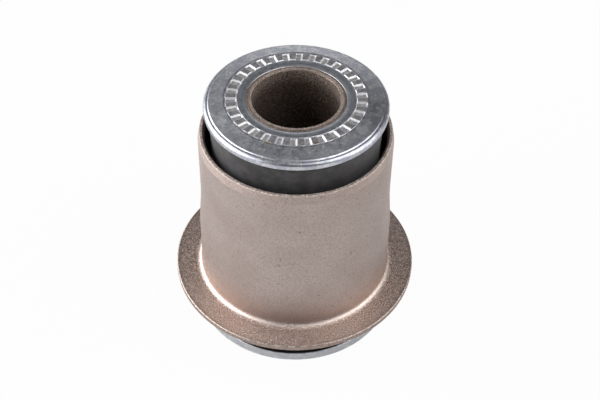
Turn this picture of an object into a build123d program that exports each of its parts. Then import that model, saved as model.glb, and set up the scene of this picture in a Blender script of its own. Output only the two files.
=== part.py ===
"""Rubber metal bush of a vehicle's suspension arm.

A rubber spring is moulded between a steel inner tube and a flanged, deep drawn outer sleeve.
A serrated end washer is pressed on each end of the inner tube and rests on its shoulder.
The bush stands on the teeth of its lower washer: +Z runs up the bore, the origin is the centre
of the plane that the lower teeth stand on.
"""

import os
from math import atan2, isclose, radians, tan

from build123d import *

# ---------------------------------------------------------------- driving dimensions, mm, degrees
# Inner tube
bore_diameter = 20.2  # clearance hole for an M20 bolt
spigot_wall = 1.4  # reduced ends that the washers are pressed on
tube_wall = 4.4  # body of the tube, inside the rubber
tube_end_recess = 0.25  # the tube's ends lie this far inside the washers' faces
mouth_chamfer = 0.45

# End washers
face_to_face = 64.5  # from one washer's outer face to the other's
washer_thickness = 2.7
washer_press_clearance = 0.02  # radial, between spigot and washer
eye_clearance = 1.65  # radial, between the upper washer and the arm's eye that it passes through
lower_washer_diameter = 50.8
hole_roll_width = 0.8  # rounded-over edge of the punched hole
hole_roll_depth = 0.22
dish_drop = 0.72  # the upper washer's outer zone slopes down by this much
coin_step = 0.2  # small step where that slope ends, as wide as it is deep
shoulder_land = 0.1  # level, between the step and the rounded corner
shoulder_radius = 0.9  # upper washer, rounded outer corner
washer_edge_radius = 0.3

# Serration ring, coined into each washer's outer face
tooth_count = 30
tooth_phase = -2.0  # direction of the first tooth's middle
hub_width = 2.08  # from the washer's hole to the ring
ring_width = 2.7
channel_depth = 0.25  # below the washer's face
tooth_rise = 0.12  # above the washer's face
tooth_draft = 50.0  # slope of a tooth's flanks, from the vertical
tooth_gap_angle = 3.5  # between two teeth, at their feet
hub_overlap = 0.26  # depth by which a tooth's foot runs in under the hub's wall
rim_overlap = 0.05  # reach of a tooth over the ring's outer edge, at the washer's face

# Outer sleeve, one drawn sheet
sleeve_diameter = 46.0  # upper stretch of the wall, drawn in a little
sleeve_height = 44.9  # from the flange's underside to the rim
wall_growth = 0.75  # radial: the wall's lower stretch is this much wider
cone_height = 9.5  # of the slight cone between the two stretches, from corner to corner
cone_to_flange = 15.1  # from the cone's lower corner to the flange's upper face
cone_corner_radius = 80.0
flange_diameter = 60.8
sheet_thickness = 1.6
bend_radius = 1.6  # between the wall and the flange's upper face
lead_in_height = 2.2  # turned taper at the rim, for pressing into the arm's eye
lead_in_depth = 0.4
rim_inner_chamfer = 0.5
flange_edge_radius = 0.35
flange_to_washer = 7.6  # free gap between the lower washer and the flange

# Rubber body
upper_neck_diameter = 40.0  # where it meets the upper washer
lower_neck_diameter = 41.6  # where it meets the lower washer
groove_width = 2.3  # between the neck's root and the sleeve
groove_depth = 9.0  # from the sleeve's rim down to the rubber
lower_groove_depth = 7.0  # from the flange's underside up to the rubber
groove_root_radius = 1.2

# ---------------------------------------------------------------- worked out from them
bore_radius = bore_diameter / 2
spigot_radius = bore_radius + spigot_wall
tube_radius = bore_radius + tube_wall
washer_hole_radius = spigot_radius + washer_press_clearance
sleeve_radius = sleeve_diameter / 2
sleeve_inner_radius = sleeve_radius - sheet_thickness
wall_foot_radius = sleeve_radius + wall_growth
flange_radius = flange_diameter / 2

lower_face = tooth_rise
upper_face = lower_face + face_to_face
lower_seat = lower_face + washer_thickness
upper_seat = upper_face - washer_thickness
flange_underside = lower_seat + flange_to_washer
flange_top = flange_underside + sheet_thickness
rim = flange_underside + sleeve_height

ring_inner = washer_hole_radius + hub_width
ring_outer = ring_inner + ring_width
tooth_height = channel_depth + tooth_rise


def round_edges(piece, radius):
    """The piece's circular edges of one radius."""
    circles = piece.edges().filter_by(GeomType.CIRCLE)
    return circles.filter_by(lambda edge: isclose(edge.radius, radius))


def cone_corners(inset):
    """The cone's lower and upper corner, on a line this far inside the wall's outer face."""
    lower_corner = flange_top + cone_to_flange
    upper_corner = lower_corner + cone_height
    drop = inset * tan(atan2(wall_growth, cone_height) / 2)
    return [
        (wall_foot_radius - inset, lower_corner - drop),
        (sleeve_radius - inset, upper_corner - drop),
    ]


def channel_points(face, outward):
    """Section of the sunk ring that holds the teeth.

    outward is +1 on a face that looks up and -1 on one that looks down.
    """
    floor = face - outward * channel_depth
    return [
        (ring_inner, face),
        (ring_inner + channel_depth, floor),
        (ring_outer - channel_depth, floor),
        (ring_outer, face),
    ]


def tooth_feet(face, outward):
    """Outline of every tooth at the floor of the sunk ring: a flat ring, parted by radial gaps."""
    floor = face - outward * channel_depth
    foot_inner = ring_inner + channel_depth - hub_overlap
    foot_outer = ring_outer + rim_overlap + channel_depth * tan(radians(tooth_draft))
    reach = 2 * foot_outer
    half_gap = reach * tan(radians(tooth_gap_angle / 2))
    first_gap = tooth_phase + 180 / tooth_count
    with BuildSketch(Plane((0, 0, floor), z_dir=(0, 0, outward))) as feet:
        Circle(foot_outer)
        Circle(foot_inner, mode=Mode.SUBTRACT)
        with PolarLocations(0, tooth_count, start_angle=first_gap):
            Polygon((0, 0), (reach, -half_gap), (reach, half_gap), align=None, mode=Mode.SUBTRACT)
    return feet.sketch


# ---------------------------------------------------------------- inner tube
tube_lower_end = lower_face + tube_end_recess
tube_upper_end = upper_face - tube_end_recess

with BuildPart() as inner_tube:
    with BuildSketch(Plane.XZ):
        with BuildLine():
            Polyline(
                (bore_radius, tube_lower_end),
                (spigot_radius, tube_lower_end),
                (spigot_radius, lower_seat),
                (tube_radius, lower_seat),
                (tube_radius, upper_seat),
                (spigot_radius, upper_seat),
                (spigot_radius, tube_upper_end),
                (bore_radius, tube_upper_end),
                close=True,
            )
        make_face()
    revolve(axis=Axis.Z)
    chamfer(round_edges(inner_tube, bore_radius), length=mouth_chamfer)
inner_tube.part.label = "inner_tube"

# ---------------------------------------------------------------- outer sleeve
with BuildPart() as outer_sleeve:
    with BuildSketch(Plane.XZ):
        with BuildLine():
            FilletPolyline(
                (flange_radius, flange_top),
                (wall_foot_radius, flange_top),
                *cone_corners(0),
                (sleeve_radius, rim),
                radius=(bend_radius, cone_corner_radius, cone_corner_radius),
            )
            offset(amount=sheet_thickness, side=Side.LEFT)
        make_face()
    revolve(axis=Axis.Z)

    rim_land = outer_sleeve.faces().filter_by(Axis.Z).sort_by(Axis.Z)[-1]
    chamfer(
        round_edges(outer_sleeve, sleeve_radius).sort_by(Axis.Z)[-1],
        length=lead_in_depth,
        length2=lead_in_height,
        reference=rim_land,
    )
    chamfer(
        round_edges(outer_sleeve, sleeve_inner_radius).sort_by(Axis.Z)[-1],
        length=rim_inner_chamfer,
    )
    fillet(round_edges(outer_sleeve, flange_radius), radius=flange_edge_radius)
outer_sleeve.part.label = "outer_sleeve"

# ---------------------------------------------------------------- rubber body
upper_neck = upper_neck_diameter / 2
lower_neck = lower_neck_diameter / 2
neck_root = sleeve_inner_radius - groove_width
upper_groove = rim - groove_depth
lower_groove = flange_underside + lower_groove_depth
band_foot_radius = wall_foot_radius - sheet_thickness

with BuildPart() as rubber_body:
    with BuildSketch(Plane.XZ):
        with BuildLine():
            Line((tube_radius, lower_seat), (lower_neck, lower_seat))
            TangentArc((neck_root, lower_groove), (lower_neck, lower_seat), tangent=(0, -1))
            Line((neck_root, lower_groove), (band_foot_radius, lower_groove))
            FilletPolyline(
                (band_foot_radius, lower_groove),
                *cone_corners(sheet_thickness),
                (sleeve_inner_radius, upper_groove),
                radius=(cone_corner_radius - sheet_thickness, cone_corner_radius + sheet_thickness),
            )
            Line((sleeve_inner_radius, upper_groove), (neck_root, upper_groove))
            TangentArc((neck_root, upper_groove), (upper_neck, upper_seat), tangent=(0, 1))
            Line((upper_neck, upper_seat), (tube_radius, upper_seat))
            Line((tube_radius, upper_seat), (tube_radius, lower_seat))
        make_face()
    revolve(axis=Axis.Z)
    fillet(round_edges(rubber_body, neck_root), radius=groove_root_radius)
rubber_body.part.label = "rubber_body"

# ---------------------------------------------------------------- upper washer
upper_rim = sleeve_radius - eye_clearance
dish_end = upper_rim - shoulder_radius - shoulder_land - coin_step
dish_level = upper_face - dish_drop
shoulder_level = dish_level - coin_step

with BuildPart() as upper_washer:
    with BuildSketch(Plane.XZ):
        with BuildLine():
            Polyline(
                (washer_hole_radius, upper_seat),
                (washer_hole_radius, upper_face - hole_roll_depth),
                (washer_hole_radius + hole_roll_width, upper_face),
                *channel_points(upper_face, 1),
                (dish_end, dish_level),
                (dish_end + coin_step, shoulder_level),
                (upper_rim, shoulder_level),
                (upper_rim, upper_seat),
                close=True,
            )
        make_face()
    revolve(axis=Axis.Z)
    lower_edge, upper_edge = round_edges(upper_washer, upper_rim).sort_by(Axis.Z)
    fillet(upper_edge, radius=shoulder_radius)
    fillet(lower_edge, radius=washer_edge_radius)
    extrude(tooth_feet(upper_face, 1), amount=tooth_height, taper=tooth_draft)
upper_washer.part.label = "upper_washer"

# ---------------------------------------------------------------- lower washer
lower_rim = lower_washer_diameter / 2

with BuildPart() as lower_washer:
    with BuildSketch(Plane.XZ):
        with BuildLine():
            Polyline(
                (washer_hole_radius, lower_seat),
                (washer_hole_radius, lower_face + hole_roll_depth),
                (washer_hole_radius + hole_roll_width, lower_face),
                *channel_points(lower_face, -1),
                (lower_rim, lower_face),
                (lower_rim, lower_seat),
                close=True,
            )
        make_face()
    revolve(axis=Axis.Z)
    fillet(round_edges(lower_washer, lower_rim), radius=washer_edge_radius)
    extrude(tooth_feet(lower_face, -1), amount=tooth_height, taper=tooth_draft)
lower_washer.part.label = "lower_washer"

# ---------------------------------------------------------------- STEP files, one for each piece
os.makedirs("parts", exist_ok=True)
for piece in (inner_tube, outer_sleeve, rubber_body, upper_washer, lower_washer):
    export_step(piece.part, f"parts/{piece.part.label}.step")
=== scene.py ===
"""Rubber metal bush of a suspension arm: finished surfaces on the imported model.

Every piece is a turned, drawn or moulded ring, so each is a closed section swept once round
the bore's axis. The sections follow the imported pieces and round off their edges. They differ
from them in two small ways: the rubber's necks are fuller, and the tube's ends reach further
out, with a smaller chamfer. The two washers' coined teeth are a height map on that sweep.
"""

from math import acos, atan2, cos, hypot, pi, radians, sin, tan

import bpy
import numpy as np
from mathutils import Matrix, Vector


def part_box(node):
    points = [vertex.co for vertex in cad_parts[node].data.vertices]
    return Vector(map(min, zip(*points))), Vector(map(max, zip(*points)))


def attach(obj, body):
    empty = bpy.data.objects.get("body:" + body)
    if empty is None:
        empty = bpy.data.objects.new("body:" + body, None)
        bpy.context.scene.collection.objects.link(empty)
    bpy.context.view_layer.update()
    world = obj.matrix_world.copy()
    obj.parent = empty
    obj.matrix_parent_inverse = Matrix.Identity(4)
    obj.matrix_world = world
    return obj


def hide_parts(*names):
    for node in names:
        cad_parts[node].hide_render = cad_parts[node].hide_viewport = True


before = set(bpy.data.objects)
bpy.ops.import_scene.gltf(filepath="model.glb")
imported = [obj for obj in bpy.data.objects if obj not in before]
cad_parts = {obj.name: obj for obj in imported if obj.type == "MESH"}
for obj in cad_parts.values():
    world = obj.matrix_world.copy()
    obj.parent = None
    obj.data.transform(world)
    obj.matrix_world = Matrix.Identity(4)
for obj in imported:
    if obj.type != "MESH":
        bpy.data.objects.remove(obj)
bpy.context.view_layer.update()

MM = 0.001

# ---------------------------------------------------------------- sizes, mm
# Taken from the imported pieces
tube_low, tube_high = (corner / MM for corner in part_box("inner_tube"))
sleeve_low, sleeve_high = (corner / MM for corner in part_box("outer_sleeve"))
upper_low, upper_high = (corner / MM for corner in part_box("upper_washer"))
lower_low, lower_high = (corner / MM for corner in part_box("lower_washer"))

tube_radius = tube_high.x
flange_radius = sleeve_high.x
flange_underside = sleeve_low.z
rim = sleeve_high.z
upper_rim = upper_high.x
lower_rim = lower_high.x
upper_seat = upper_low.z
lower_seat = lower_high.z

# Washers' faces. The teeth stand proud of them
tooth_rise = 0.12
upper_face = upper_high.z - tooth_rise
lower_face = lower_low.z + tooth_rise

# Inner tube
bore_radius = 10.1
spigot_radius = 11.5
mouth_chamfer = 0.2
tube_reach = 0.15  # the drawn tube's ends lie this much nearer to the washers' faces
tube_bottom = tube_low.z - tube_reach
tube_top = tube_high.z + tube_reach

# Outer sleeve
sleeve_radius = 23.0
wall_foot = 23.75  # radius of the wall's lower stretch
sheet = 1.6
bend = 1.6
flange_top = flange_underside + sheet
cone_to_flange = 15.1
cone_height = 9.5
cone_low = flange_top + cone_to_flange
cone_high = cone_low + cone_height
cone_round = 80.0
cone_drop = sheet * tan(atan2(wall_foot - sleeve_radius, cone_height) / 2)
sleeve_inner = sleeve_radius - sheet
lead_in_height = 2.2
lead_in_depth = 0.4
rim_inner_chamfer = 0.5

# Rubber body
groove_width = 1.6
groove_depth = 9.0
lower_groove_depth = 7.0
groove_root = 1.2
upper_neck = 20.6  # radius where the neck meets the upper washer
lower_neck = 21.3

# Serration ring
tooth_count = 30
tooth_phase = -2.0  # degrees
ring_inner = 13.6
ring_outer = 16.3
channel_depth = 0.25
foot_inner = 13.59  # the teeth's feet, on the channel's floor
foot_outer = 16.648
tooth_draft = 50.0  # degrees, slope of the flanks from the vertical
tooth_gap_angle = 3.5  # degrees, between two teeth at their feet
coined_soft = 0.05  # blend of the ring's edges
face_slack = 0.02  # a row this far under a face still counts as lying on it
crown_start = 0.02  # height above the face where the look of a tooth's crown begins
crown_fade = 0.08
ring_fade = 0.1

# Washers
washer_hole = 11.52
roll_width = 0.8
roll_depth = 0.22
hub_margin = 0.3  # face inside the ring that the relief reaches over
face_margin = 0.5  # level face outside the ring, up to where the upper washer's dish starts
dish_lip = 0.02  # small bevel at that start
dish_drop = 0.72
coin_step = 0.2
shoulder_land = 0.1
shoulder = 0.9
dish_end = upper_rim - shoulder - shoulder_land - coin_step

# Roundings
tube_edge = 0.25
land_edge = 0.2
spigot_corner = 0.05
tube_shoulder_edge = 0.1
flange_edge = 0.35
lead_in_round = 0.3
rim_edge = 0.22
rim_inner_edge = 0.12
washer_edge = 0.3
hole_seat_edge = 0.1
hole_edge = 0.2
roll_round = 3.0
dish_lip_round = 0.01
dish_end_round = 0.4
coin_step_round = 0.1

# Fineness of the meshes
COLUMNS = 360
TOOTH_COLUMNS = 720
ARC_STEP = radians(15)
LEAST_ARC_STEPS = 3
HOLD = 0.03  # strip beside each rounded edge that keeps the flat beside it flat
RING_ROWS = 36
RING_ROW_MARGIN = 0.15
ROOT_POINTS = 7
NECK_POINTS = 14
SAME_LEVEL = 1e-9


# ---------------------------------------------------------------- sections
def unit(vector):
    return vector / hypot(*vector)


def section(corners):
    """Closed outline through (radius, height, rounding) corners, with an arc at each."""
    points = []
    for i, (r, z, rounding) in enumerate(corners):
        here = np.array((r, z))
        to_before = unit(np.array(corners[i - 1][:2]) - here)
        to_after = unit(np.array(corners[(i + 1) % len(corners)][:2]) - here)
        half = acos(to_before @ to_after) / 2
        centre = here + unit(to_before + to_after) * rounding / sin(half)
        start = here + to_before * rounding / tan(half)
        end = here + to_after * rounding / tan(half)
        first = atan2(*(start - centre)[::-1])
        turn = atan2(*(end - centre)[::-1]) - first
        turn = (turn + pi) % (2 * pi) - pi
        steps = max(LEAST_ARC_STEPS, round(abs(turn) / ARC_STEP))
        points.append(start + to_before * HOLD)
        for angle in first + turn * np.arange(steps + 1) / steps:
            points.append(centre + rounding * np.array((cos(angle), sin(angle))))
        points.append(end + to_after * HOLD)
    return np.array(points)


def lathe(name, outline, material, columns=COLUMNS, relief=None):
    """Sweeps a closed outline round Z.

    relief() gives the heights to add to it and the marks that the material reads.
    """
    angles = np.arange(columns) * 2 * pi / columns
    radius, angle = np.meshgrid(outline[:, 0], angles, indexing="ij")
    height = np.repeat(outline[:, 1:], columns, axis=1)
    marks = {}
    if relief:
        added, marks = relief(radius, height, angle)
        height = height + added
    points = np.stack([radius * np.cos(angle), radius * np.sin(angle), height], -1)
    rows = len(outline)
    i, j = np.meshgrid(np.arange(rows), np.arange(columns), indexing="ij")
    ni, nj = (i + 1) % rows, (j + 1) % columns
    corners = [i * columns + j, i * columns + nj, ni * columns + nj, ni * columns + j]
    faces = np.stack(corners, -1).reshape(-1, 4)
    area = np.sum(outline[:, 0] * np.roll(outline[:, 1], -1))
    area -= np.sum(outline[:, 1] * np.roll(outline[:, 0], -1))
    if area < 0:  # the outline runs clockwise, so its faces would look inwards
        faces = faces[:, ::-1]
    mesh = bpy.data.meshes.new(name)
    mesh.from_pydata((points.reshape(-1, 3) * MM).tolist(), [], faces.tolist())
    for mark, values in marks.items():
        mesh.attributes.new(mark, "FLOAT", "POINT").data.foreach_set("value", values.ravel())
    mesh.shade_smooth()
    mesh.materials.append(material)
    piece = bpy.data.objects.new(name, mesh)
    bpy.context.scene.collection.objects.link(piece)
    return piece


# ---------------------------------------------------------------- node helpers
class Nodes:
    """Short calls for building one node tree."""

    def __init__(self, owner):
        owner.use_nodes = True
        self.tree = owner.node_tree
        self.tree.nodes.clear()

    def add(self, kind, inputs=(), **settings):
        node = self.tree.nodes.new(kind)
        for key, value in settings.items():
            setattr(node, key, value)
        for key, value in dict(inputs).items():
            self.feed(node.inputs[key], value)
        return node

    def feed(self, socket, value):
        if isinstance(value, bpy.types.NodeSocket):
            self.tree.links.new(value, socket)
        else:
            socket.default_value = value

    def math(self, operation, *values):
        node = self.add("ShaderNodeMath", operation=operation)
        for socket, value in zip(node.inputs, values):
            self.feed(socket, value)
        return node.outputs[0]

    def plus(self, a, b):
        return self.math("ADD", a, b)

    def times(self, a, b):
        return self.math("MULTIPLY", a, b)

    def mix(self, factor, a, b):
        node = self.add("ShaderNodeMix", data_type="RGBA")
        for key, value in ((0, factor), (6, a), (7, b)):
            self.feed(node.inputs[key], value)
        return node.outputs[2]

    def coat(self, colour, *coats):
        """Lays (mask, colour) coats over a colour, one after the other."""
        for mask, over in coats:
            colour = self.mix(mask, colour, over)
        return colour

    def ramp(self, value, low, high, to_low=0.0, to_high=1.0):
        """Smooth step from to_low, where the value is low, to to_high, where it is high."""
        node = self.add("ShaderNodeMapRange", interpolation_type="SMOOTHSTEP")
        for socket, number in zip(node.inputs, (value, low, high, to_low, to_high)):
            self.feed(socket, number)
        return node.outputs[0]

    def ramp_mm(self, length, low, high, to_low=0.0, to_high=1.0):
        """The same along a length, with low and high in mm."""
        return self.ramp(length, low * MM, high * MM, to_low, to_high)

    def noise(self, where, scale, detail, roughness):
        """Noise of so many lumps to a metre."""
        sizes = {"Vector": where, "Scale": scale, "Detail": detail, "Roughness": roughness}
        return self.add("ShaderNodeTexNoise", sizes).outputs["Fac"]

    def mark(self, name):
        """One of the marks that a relief leaves on the mesh."""
        return self.add("ShaderNodeAttribute", attribute_name=name).outputs["Fac"]

    def place(self):
        return self.add("ShaderNodeTexCoord").outputs["Object"]

    def level(self, place):
        return self.add("ShaderNodeSeparateXYZ", {0: place}).outputs["Z"]

    def radius(self, place):
        """Distance from the bore's axis."""
        without_height = {0: place, 1: (1, 1, 0)}
        flat = self.add("ShaderNodeVectorMath", without_height, operation="MULTIPLY").outputs[0]
        return self.add("ShaderNodeVectorMath", {0: flat}, operation="LENGTH").outputs["Value"]

    def distance(self, place, x, y, z):
        """Distance from a point given in mm."""
        ends = {0: place, 1: (x * MM, y * MM, z * MM)}
        return self.add("ShaderNodeVectorMath", ends, operation="DISTANCE").outputs["Value"]


def rgb(*values):
    return (*values, 1.0)


# ---------------------------------------------------------------- materials
STEEL_BUMP = 0.02 * MM
RUBBER_BUMP = 0.03 * MM


def steel_shader(n, colour, rough, relief, strength, metallic=1.0):
    """Metallic surface with its relief, joined to the output."""
    bump = n.add("ShaderNodeBump", {"Strength": strength, "Distance": STEEL_BUMP, "Height": relief})
    steel = {"Base Color": colour, "Metallic": metallic, "Roughness": rough}
    shader = n.add("ShaderNodeBsdfPrincipled", {**steel, "Normal": bump.outputs[0]})
    n.add("ShaderNodeOutputMaterial", {"Surface": shader.outputs[0]})


# Stains on the upper washer: place and size in mm, colour
STAINS = (
    (-6.3, -15.3, 0.9, rgb(0.55, 0.49, 0.38)),  # yellowish
    (4.4, -15.2, 0.7, rgb(0.36, 0.27, 0.22)),  # brown
    (3.2, -19.3, 0.5, rgb(0.92, 0.93, 0.96)),  # bright nick
    (19.6, -7.7, 0.9, rgb(0.52, 0.40, 0.36)),  # brown
    (-16.6, -8.2, 1.5, rgb(0.86, 0.89, 0.95)),  # pale hazes
    (14.6, -10.4, 1.9, rgb(0.90, 0.915, 0.95)),
    (-15.2, -12.4, 0.6, rgb(0.86, 0.89, 0.95)),
    (12.3, -15.4, 0.7, rgb(0.88, 0.91, 0.97)),
)
STAIN_STRENGTH = 0.8


def zinc_plate():
    """Bright zinc: a soft mirror, clouded, spotted and finely turned, with a coined ring.

    The lower washer's face under the flange is nearly black with painted shade, and its side wall
    is lighter with a painted highlight.
    """
    material = bpy.data.materials.new("bright_zinc")
    n = Nodes(material)
    place = n.place()
    radius, level = n.radius(place), n.level(place)
    clouds = n.noise(place, 420, 4, 0.65)
    mottle = n.noise(place, 1300, 3, 0.6)
    spots = n.noise(place, 1200, 5, 0.8)
    turned = n.noise(n.add("ShaderNodeCombineXYZ", {"X": radius}).outputs[0], 4200, 2, 0.6)
    stretch = {"Vector": place, "Scale": (0.12, 1.6, 1.0), "Rotation": (0, 0, 0.6)}
    scratch = n.noise(n.add("ShaderNodeMapping", stretch).outputs[0], 2600, 2, 0.5)
    crown, ring = n.mark("crown"), n.mark("ring")
    groove = n.times(ring, n.math("SUBTRACT", 1.0, crown))

    clouded = n.ramp(clouds, 0.42, 0.58)
    blotches = n.ramp(mottle, 0.48, 0.60, 0.0, 0.6)
    specks = n.times(n.ramp(spots, 0.52, 0.57), n.ramp(clouds, 0.44, 0.56, 0.15, 1.0))
    turning_marks = n.ramp(turned, 0.35, 0.65, 0.0, 0.2)
    hub = n.ramp_mm(radius, ring_inner - 0.3, ring_inner + 0.1, 0.5, 0.0)
    lip = n.ramp_mm(radius, washer_hole + 0.1, washer_hole + 0.2, 0.6, 0.0)
    coined = n.mix(n.ramp(turned, 0.35, 0.65), rgb(0.86, 0.855, 0.875), rgb(0.56, 0.555, 0.575))
    dull = n.mix(n.ramp(mottle, 0.35, 0.65), rgb(0.37, 0.36, 0.38), rgb(0.50, 0.49, 0.51))
    colour = n.coat(
        n.mix(clouded, rgb(0.54, 0.56, 0.64), rgb(0.715, 0.725, 0.77)),
        (blotches, rgb(0.46, 0.48, 0.56)),
        (n.times(specks, 0.75), rgb(0.97, 0.98, 1.0)),
        (turning_marks, rgb(0.49, 0.50, 0.53)),
        (hub, rgb(0.55, 0.60, 0.66)),
        (lip, rgb(0.70, 0.61, 0.57)),
        (groove, coined),
        (crown, dull),
    )
    for x, y, size, stain in STAINS:
        away = n.distance(place, x, y, upper_face)
        ragged = n.math("SUBTRACT", away, n.times(spots, size * MM))
        colour = n.mix(n.ramp_mm(ragged, 0.0, size / 2, STAIN_STRENGTH, 0.0), colour, stain)

    # Painted shade: the lower washer's face under the flange, made nearly black.
    shade_under_flange = n.times(
        n.ramp_mm(level, lower_seat - 0.12, lower_seat - 0.02, 0.0, 0.9),
        n.ramp_mm(level, lower_seat + 0.5, lower_seat + 1.0, 1.0, 0.0),
    )
    # Painted highlight: the lower washer's side wall, lightened towards white.
    side_wall_highlight = n.times(
        n.ramp_mm(radius, lower_rim - 0.2, lower_rim - 0.05, 0.0, 0.42),
        n.ramp_mm(level, lower_seat - 0.3, lower_seat - 0.12, 1.0, 0.0),
    )
    colour = n.coat(
        colour,
        (shade_under_flange, rgb(0.05, 0.05, 0.05)),
        (side_wall_highlight, rgb(0.93, 0.955, 0.95)),
    )
    rough = n.plus(n.ramp(mottle, 0.3, 0.7, 0.32, 0.44), n.times(ring, 0.14))
    relief = n.plus(n.times(scratch, 0.5), mottle)
    relief = n.plus(relief, n.times(turned, n.plus(groove, 0.3)))
    steel_shader(n, colour, rough, relief, 0.07)
    return material


def blasted_plate(n, place, light, dark, speck):
    """Colour of blasted steel, fine grain over faint clouds, with its grain and its pits."""
    clouds = n.noise(place, 90, 3, 0.55)
    grain = n.noise(place, 3600, 2, 0.6)
    pits = n.noise(place, 1700, 3, 0.7)
    colour = n.mix(n.ramp(clouds, 0.35, 0.65), light, dark)
    colour = n.mix(n.ramp(grain, 0.42, 0.68, 0.0, 0.8), colour, speck)
    return colour, grain, pits


def champagne_plate():
    """Blasted, passivated sleeve, with painted shade and warm reflection at its foot, a painted
    highlight along the bend, wear and painted highlight at the rim, and painted shade inside.

    The flange is coarser, with painted shade towards its edge and a painted highlight, broken up
    like wear, along its upper corner.
    """
    material = bpy.data.materials.new("champagne_plate")
    n = Nodes(material)
    place = n.place()
    radius, level = n.radius(place), n.level(place)
    shades = rgb(0.60, 0.515, 0.485), rgb(0.545, 0.455, 0.42), rgb(0.40, 0.325, 0.29)
    colour, grain, pits = blasted_plate(n, place, *shades)
    fine = n.noise(place, 3000, 2, 0.7)

    def band(low, high, soft):
        """1 between two levels, fading out over a soft edge."""
        up = n.ramp_mm(level, low - soft, low + soft)
        return n.times(up, n.ramp_mm(level, high - soft, high + soft, 1.0, 0.0))

    # Painted shade and warm reflection of the flange, darkening the wall towards its foot; the same
    # band strengthens the grain's relief.
    foot_shade_and_grit = n.ramp_mm(level, flange_top, flange_top + 9, 1.0, 0.0)
    flange = n.ramp_mm(level, flange_top, flange_top + 0.5, 1.0, 0.0)
    light_grit = n.times(flange, n.ramp(fine, 0.48, 0.68))
    dark_grit = n.times(flange, n.ramp(fine, 0.48, 0.32))
    # Painted shade, darkening the flange towards its outer edge.
    edge = n.ramp_mm(radius, flange_radius - 1.2, flange_radius - 0.3, 0.0, 0.35)
    # Painted highlight along the flange's upper corner, broken up like wear.
    worn = n.times(band(flange_top - 0.25, flange_top - 0.05, 0.03), n.ramp(pits, 0.45, 0.58))
    corner = n.ramp_mm(radius, flange_radius - 0.35, flange_radius - 0.25, 0.0, 0.6)
    shade = band(flange_top + 1.0, flange_top + 3.5, 0.6)
    # Painted highlight along the bend above the flange.
    bend_highlight = band(flange_top + 0.25, flange_top + 0.75, 0.12)
    lead_in = band(rim - lead_in_height, rim, 0.1)
    # Wear and painted highlight along the top of the rim, broken up by the pits.
    crest_wear_and_highlight = n.times(n.ramp_mm(level, rim - 0.4, rim - 0.1), n.ramp(pits, 0.48, 0.6))
    pinholes = n.ramp(n.noise(place, 800, 1, 0.5), 0.72, 0.77, 0.0, 0.45)
    # Painted shade on the sleeve's inside, down into the rubber's groove.
    inside = n.ramp_mm(radius, sleeve_radius - 1.25, sleeve_radius - 1.0, 1.0, 0.0)
    colour = n.coat(
        colour,
        (n.times(foot_shade_and_grit, 0.35), rgb(0.47, 0.345, 0.29)),
        (light_grit, rgb(0.92, 0.75, 0.66)),
        (dark_grit, rgb(0.34, 0.26, 0.22)),
        (edge, rgb(0.22, 0.165, 0.14)),
        (n.times(worn, corner), rgb(0.95, 0.85, 0.79)),
        (n.times(shade, 0.08), rgb(0.30, 0.21, 0.17)),
        (n.times(bend_highlight, 0.75), rgb(0.93, 0.82, 0.76)),
        (n.times(lead_in, 0.35), rgb(0.70, 0.60, 0.555)),
        (n.times(crest_wear_and_highlight, 0.9), rgb(0.95, 0.86, 0.80)),
        (pinholes, rgb(0.24, 0.19, 0.165)),
        (n.times(inside, 0.75), rgb(0.17, 0.125, 0.105)),
    )
    rough = n.plus(n.ramp(pits, 0.3, 0.7, 0.38, 0.64), n.times(lead_in, 0.26))
    relief = n.times(n.plus(grain, pits), n.math("MULTIPLY_ADD", foot_shade_and_grit, 1.5, 1.0))
    steel_shader(n, colour, rough, relief, 1.0)
    return material


def bronze_plate():
    """Tube: gritty, with painted shade deep in the bore that lifts to brown towards its mouths,
    painted shade at the edges of its ends, and worn end lands.
    """
    material = bpy.data.materials.new("bronze_plate")
    n = Nodes(material)
    place = n.place()
    radius, level = n.radius(place), n.level(place)
    # Painted shade: these dark tones fill the tube deep in the bore; near_end lifts them to brown
    # towards the mouths.
    shades = rgb(0.11, 0.08, 0.067), rgb(0.07, 0.05, 0.042), rgb(0.42, 0.33, 0.28)
    colour, grain, pits = blasted_plate(n, place, *shades)

    middle = (tube_bottom + tube_top) / 2 * MM
    from_middle = n.math("ABSOLUTE", n.math("SUBTRACT", level, middle))
    end = (tube_top - tube_bottom) / 2
    near_end = n.ramp_mm(from_middle, end - 5.0, end - 0.5)
    # Painted shade along the edges of the tube's ends, round the worn land.
    end_edge_shade = n.ramp_mm(from_middle, end - 0.4, end - 0.15)
    land = n.times(
        n.ramp_mm(radius, bore_radius + 0.1, bore_radius + 0.3),
        n.ramp_mm(radius, bore_radius + 0.75, bore_radius + 1.05, 1.0, 0.0),
    )
    gritty = n.ramp(grain, 0.42, 0.62)
    brown = n.mix(gritty, rgb(0.21, 0.16, 0.133), rgb(0.72, 0.59, 0.52))
    dark = n.mix(gritty, rgb(0.13, 0.098, 0.082), rgb(0.30, 0.24, 0.205))
    worn = n.mix(n.ramp(grain, 0.42, 0.60), rgb(0.25, 0.195, 0.17), rgb(0.66, 0.55, 0.49))
    colour = n.coat(colour, (near_end, brown), (end_edge_shade, dark), (land, worn))
    relief = n.times(n.plus(grain, pits), 2.5)
    steel_shader(n, colour, n.ramp(pits, 0.3, 0.7, 0.35, 0.65), relief, 1.0, metallic=0.7)
    return material


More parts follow.
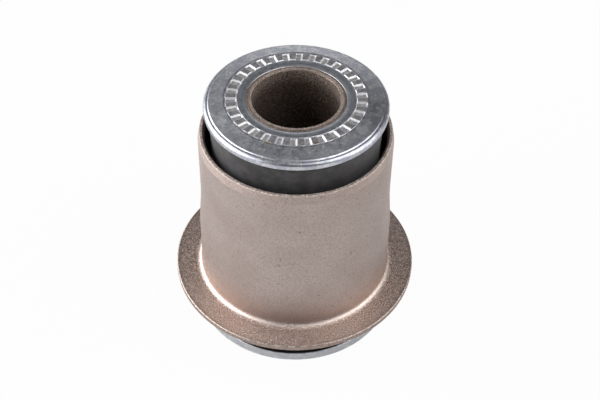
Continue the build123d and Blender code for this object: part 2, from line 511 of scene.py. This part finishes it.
def black_rubber():
    """Moulded rubber with a thin, uneven film of dust, and lighter in one patch on the upper neck.
    """
    material = bpy.data.materials.new("black_rubber")
    n = Nodes(material)
    place = n.place()
    dust = n.noise(place, 420, 4, 0.6)
    skin = n.noise(place, 2600, 2, 0.5)
    colour = n.mix(n.ramp(dust, 0.38, 0.66), rgb(0.021, 0.019, 0.021), rgb(0.050, 0.046, 0.050))
    patch = n.ramp_mm(n.distance(place, -14.5, -14.0, 51.0), 2, 9, 1.0, 0.0)
    # Lighter in one patch on the upper neck.
    pale_patch = n.times(patch, n.ramp(dust, 0.3, 0.6, 0.35, 0.9))
    colour = n.mix(pale_patch, colour, rgb(0.085, 0.08, 0.09))
    bump = n.add("ShaderNodeBump", {"Strength": 0.4, "Distance": RUBBER_BUMP, "Height": skin})
    matt = {"Roughness": 0.6, "Specular IOR Level": 0.4, "Sheen Weight": 0.25}
    surface = {"Base Color": colour, "Normal": bump.outputs[0], **matt}
    shader = n.add("ShaderNodeBsdfPrincipled", surface)
    n.add("ShaderNodeOutputMaterial", {"Surface": shader.outputs[0]})
    return material


zinc = zinc_plate()
champagne = champagne_plate()
bronze = bronze_plate()
rubber = black_rubber()


# ---------------------------------------------------------------- pieces
def smooth_min(a, b, soft):
    """Lesser of two heights, with the edge between them rounded off."""
    h = np.clip(0.5 + 0.5 * (b - a) / soft, 0, 1)
    return b * (1 - h) + a * h - soft * h * (1 - h)


def smooth_max(a, b, soft):
    return -smooth_min(-a, -b, soft)


def serrations(face, outward, phase):
    """Relief of the sunk ring with its teeth, for the rows that lie on that face.

    It marks the teeth's crowns and the whole ring, each fading in over a short way.
    """
    tooth_height = channel_depth + tooth_rise
    pitch = 2 * pi / tooth_count

    def relief(radius, height, angle):
        on_face = outward * (height - face) > -face_slack
        on_face &= (radius > ring_inner - hub_margin) & (radius < ring_outer + face_margin)
        wall = smooth_min(radius - ring_inner, ring_outer - radius, coined_soft)
        sunk = smooth_max(wall, 0, coined_soft)
        channel = -smooth_min(sunk, channel_depth, coined_soft)
        from_gap = np.abs((angle - radians(phase)) % pitch - pitch / 2)
        flank = radius * np.sin(from_gap - radians(tooth_gap_angle / 2))
        inside = smooth_min(radius - foot_inner, foot_outer - radius, coined_soft)
        inside = smooth_min(inside, flank, coined_soft)
        risen = smooth_min(inside / tan(radians(tooth_draft)), tooth_height, coined_soft)
        surface = smooth_max(channel, risen - channel_depth, coined_soft)
        crown = np.clip((surface - crown_start) / crown_fade, 0, 1)
        ring = np.clip(wall / ring_fade, 0, 1)
        marks = {"crown": np.where(on_face, crown, 0), "ring": np.where(on_face, ring, 0)}
        return np.where(on_face, outward * surface, 0), marks

    return relief


def ring_rows(outline, face):
    """Adds the close rows that the teeth need between the two points either side of the ring."""
    rows = []
    for here, after in zip(outline, np.roll(outline, -1, axis=0)):
        rows.append(here)
        flat = abs(here[1] - after[1]) < SAME_LEVEL and abs(here[1] - face) < SAME_LEVEL
        if flat and min(here[0], after[0]) < ring_inner < ring_outer < max(here[0], after[0]):
            close = np.linspace(
                ring_inner - RING_ROW_MARGIN, ring_outer + RING_ROW_MARGIN, RING_ROWS
            )
            if here[0] > after[0]:
                close = close[::-1]
            rows += [(r, face) for r in close]
    return np.array(rows)


def washer(name, corners, face, outward, phase):
    """Zinc plated washer with the tooth ring on its outer face."""
    outline = ring_rows(section(corners), face)
    return lathe(name, outline, zinc, TOOTH_COLUMNS, serrations(face, outward, phase))


def neck(groove, seat, flare):
    """Points from a groove's floor round its root, then along the neck's arc to the washer."""
    up = 1 if seat > groove else -1
    root = sleeve_inner - groove_width
    root_level = groove + up * groove_root
    points = []
    for t in np.linspace(0, pi / 2, ROOT_POINTS):
        across, along = groove_root * (1 - sin(t)), groove_root * (1 - cos(t))
        points.append((root + across, groove + up * along))
    rise, run = abs(seat - root_level), flare - root
    arc = (rise**2 + run**2) / (2 * run)
    for t in np.linspace(0, np.arcsin(rise / arc), NECK_POINTS)[1:]:
        points.append((root + arc * (1 - cos(t)), root_level + up * arc * sin(t)))
    return points


def rubber_outline():
    """The moulding's section: both necks, both grooves and the band bonded to the sleeve."""
    upper_groove = rim - groove_depth
    lower_groove = flange_underside + lower_groove_depth
    lower_side = neck(lower_groove, lower_seat, lower_neck)[::-1]
    band = [
        (wall_foot - sheet, lower_groove),
        (wall_foot - sheet, cone_low - cone_drop),
        (sleeve_inner, cone_high - cone_drop),
        (sleeve_inner, upper_groove),
    ]
    upper_side = neck(upper_groove, upper_seat, upper_neck)
    bore = [(tube_radius, upper_seat), (tube_radius, lower_seat)]
    return np.array(lower_side + band + upper_side + bore)


inner_tube = lathe(
    "inner_tube_turned",
    section(
        [
            (bore_radius, tube_bottom + mouth_chamfer, tube_edge),
            (bore_radius + mouth_chamfer, tube_bottom, land_edge),
            (spigot_radius, tube_bottom, tube_edge),
            (spigot_radius, lower_seat, spigot_corner),
            (tube_radius, lower_seat, tube_shoulder_edge),
            (tube_radius, upper_seat, tube_shoulder_edge),
            (spigot_radius, upper_seat, spigot_corner),
            (spigot_radius, tube_top, tube_edge),
            (bore_radius + mouth_chamfer, tube_top, land_edge),
            (bore_radius, tube_top - mouth_chamfer, tube_edge),
        ]
    ),
    bronze,
)

outer_sleeve = lathe(
    "outer_sleeve_drawn",
    section(
        [
            (flange_radius, flange_underside, flange_edge),
            (flange_radius, flange_top, flange_edge),
            (wall_foot, flange_top, bend),
            (wall_foot, cone_low, cone_round),
            (sleeve_radius, cone_high, cone_round),
            (sleeve_radius, rim - lead_in_height, lead_in_round),
            (sleeve_radius - lead_in_depth, rim, rim_edge),
            (sleeve_inner + rim_inner_chamfer, rim, rim_inner_edge),
            (sleeve_inner, rim - rim_inner_chamfer, rim_inner_edge),
            (sleeve_inner, cone_high - cone_drop, cone_round + sheet),
            (wall_foot - sheet, cone_low - cone_drop, cone_round - sheet),
            (wall_foot - sheet, flange_underside, bend + sheet),
        ]
    ),
    champagne,
)

rubber_body = lathe("rubber_body_moulded", rubber_outline(), rubber)

dish_start = ring_outer + face_margin
dish_level = upper_face - dish_drop
upper_washer = washer(
    "upper_washer_coined",
    [
        (washer_hole, upper_seat, hole_seat_edge),
        (washer_hole, upper_face - roll_depth, hole_edge),
        (washer_hole + roll_width, upper_face, roll_round),
        (dish_start, upper_face, dish_lip_round),
        (dish_start + dish_lip, upper_face - dish_lip, dish_lip_round),
        (dish_end, dish_level, dish_end_round),
        (dish_end + coin_step, dish_level - coin_step, coin_step_round),
        (upper_rim, dish_level - coin_step, shoulder),
        (upper_rim, upper_seat, washer_edge),
    ],
    upper_face,
    1,
    tooth_phase,
)

# This face looks down, so the angle of its first tooth is mirrored
lower_washer = washer(
    "lower_washer_coined",
    [
        (washer_hole, lower_seat, hole_seat_edge),
        (washer_hole, lower_face + roll_depth, hole_edge),
        (washer_hole + roll_width, lower_face, roll_round),
        (lower_rim, lower_face, washer_edge),
        (lower_rim, lower_seat, washer_edge),
    ],
    lower_face,
    -1,
    -tooth_phase,
)

for piece, node, slot in (
    (inner_tube, "inner_tube", "tube_steel"),
    (outer_sleeve, "outer_sleeve", "sleeve_steel"),
    (rubber_body, "rubber_body", "rubber"),
    (upper_washer, "upper_washer", "washer_steel"),
    (lower_washer, "lower_washer", "washer_steel"),
):
    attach(piece, "root")
    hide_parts(node)

# ---------------------------------------------------------------- camera, as the photograph has it
camera_place = Vector((0.0, -202.92, 235.67)) * MM
camera_pitch = 0.7881  # below the horizon, radians
camera_yaw = 0.0058
camera_roll = 0.0152
focal_pixels = 1162.6
image_width = 600

lens = bpy.data.cameras.new("camera")
lens.sensor_width = 36
lens.lens = focal_pixels / image_width * lens.sensor_width
lens.clip_start, lens.clip_end = 0.01, 20
camera = bpy.data.objects.new("camera", lens)
camera.matrix_world = (
    Matrix.Translation(camera_place)
    @ Matrix.Rotation(-camera_yaw, 4, "Z")
    @ Matrix.Rotation(pi / 2 - camera_pitch, 4, "X")
    @ Matrix.Rotation(camera_roll, 4, "Z")
)
bpy.context.scene.collection.objects.link(camera)
bpy.context.scene.camera = camera


# ---------------------------------------------------------------- studio, metres
TABLE_HALF = 1.5
TABLE_WHITE = 0.72
SEEN_GLOW = 0.96  # share of plain white in what the camera sees of the table
MIRRORED_GLOW = 0.1  # the same for its mirror image in the metal

LAMP_DISTANCE = 1.2
LAMP_AIM = 0.035  # height above the table that the lamps face

# Soft glows of the room: azimuth, elevation and spread in degrees, brightness
GLOWS = (
    (86, 0, 36, 0.80),  # pale wall behind
    (-50, 56, 28, 0.41),  # weak light high in front
    (168, 28, 68, 0.29),  # halo of the left softbox
    (-15, 44, 52, 0.17),  # halo of the right softbox
)
GLOW_CORE = 0.985  # cosine of the angle within which a glow is at its full brightness
ROOM_LIGHT = 0.01


def floor_material():
    """White table. Camera rays see it nearly pure white, under a faint shadow."""
    material = bpy.data.materials.new("white_table")
    n = Nodes(material)
    path = n.add("ShaderNodeLightPath").outputs
    mirrored = n.math("MAXIMUM", path["Is Glossy Ray"], path["Is Transmission Ray"])
    mirrored = n.times(mirrored, MIRRORED_GLOW)
    share = n.math("MULTIPLY_ADD", path["Is Camera Ray"], SEEN_GLOW, mirrored)
    white = rgb(TABLE_WHITE, TABLE_WHITE, TABLE_WHITE)
    matt = n.add("ShaderNodeBsdfDiffuse", {"Color": white})
    glow = n.add("ShaderNodeEmission", {"Color": rgb(1, 1, 1), "Strength": 1.0})
    both = n.add("ShaderNodeMixShader", {0: share, 1: matt.outputs[0], 2: glow.outputs[0]})
    n.add("ShaderNodeOutputMaterial", {"Surface": both.outputs[0]})
    return material


mesh = bpy.data.meshes.new("table")
corners = [(-1, -1), (1, -1), (1, 1), (-1, 1)]
mesh.from_pydata([(x * TABLE_HALF, y * TABLE_HALF, 0) for x, y in corners], [], [(0, 1, 2, 3)])
mesh.materials.append(floor_material())
table = bpy.data.objects.new("table", mesh)
bpy.context.scene.collection.objects.link(table)


def towards(azimuth, elevation):
    """Direction from the bush. Azimuth 0 is +X and -90 the camera's side."""
    a, e = radians(azimuth), radians(elevation)
    return Vector((cos(e) * cos(a), cos(e) * sin(a), sin(e)))


def softbox(name, azimuth, elevation, half_wide, half_high, brightness):
    """Oval lamp, given by the angles that it fills and its brightness, where white is 1."""
    back = towards(azimuth, elevation)
    lamp = bpy.data.lights.new(name, "AREA")
    lamp.shape = "ELLIPSE"
    lamp.size = 2 * LAMP_DISTANCE * tan(radians(half_wide))
    lamp.size_y = 2 * LAMP_DISTANCE * tan(radians(half_high))
    lamp.energy = brightness * pi * (pi / 4 * lamp.size * lamp.size_y)
    box = bpy.data.objects.new(name, lamp)
    centre = Vector((0, 0, LAMP_AIM)) + back * LAMP_DISTANCE
    turn = back.to_track_quat("Z", "Y").to_matrix().to_4x4()
    box.matrix_world = Matrix.Translation(centre) @ turn
    bpy.context.scene.collection.objects.link(box)


softbox("softbox_left", azimuth=179, elevation=22, half_wide=41, half_high=31, brightness=3.4)
softbox("softbox_right", azimuth=-12, elevation=39, half_wide=27, half_high=43, brightness=1.9)


def studio_walls():
    """Dim room with its soft glows."""
    world = bpy.data.worlds.new("studio")
    bpy.context.scene.world = world
    n = Nodes(world)
    direction = n.add("ShaderNodeTexCoord").outputs["Generated"]
    light = ROOM_LIGHT
    for azimuth, elevation, spread, brightness in GLOWS:
        sides = {0: direction, 1: towards(azimuth, elevation)}
        dot = n.add("ShaderNodeVectorMath", sides, operation="DOT_PRODUCT")
        facing = dot.outputs["Value"]
        glow = n.ramp(facing, cos(radians(spread)), GLOW_CORE, 0.0, brightness)
        light = n.plus(light, glow)
    back = n.add("ShaderNodeBackground", {"Color": rgb(1, 1, 1), "Strength": light})
    n.add("ShaderNodeOutputWorld", {"Surface": back.outputs[0]})


studio_walls()

bpy.context.scene.view_settings.view_transform = "Standard"
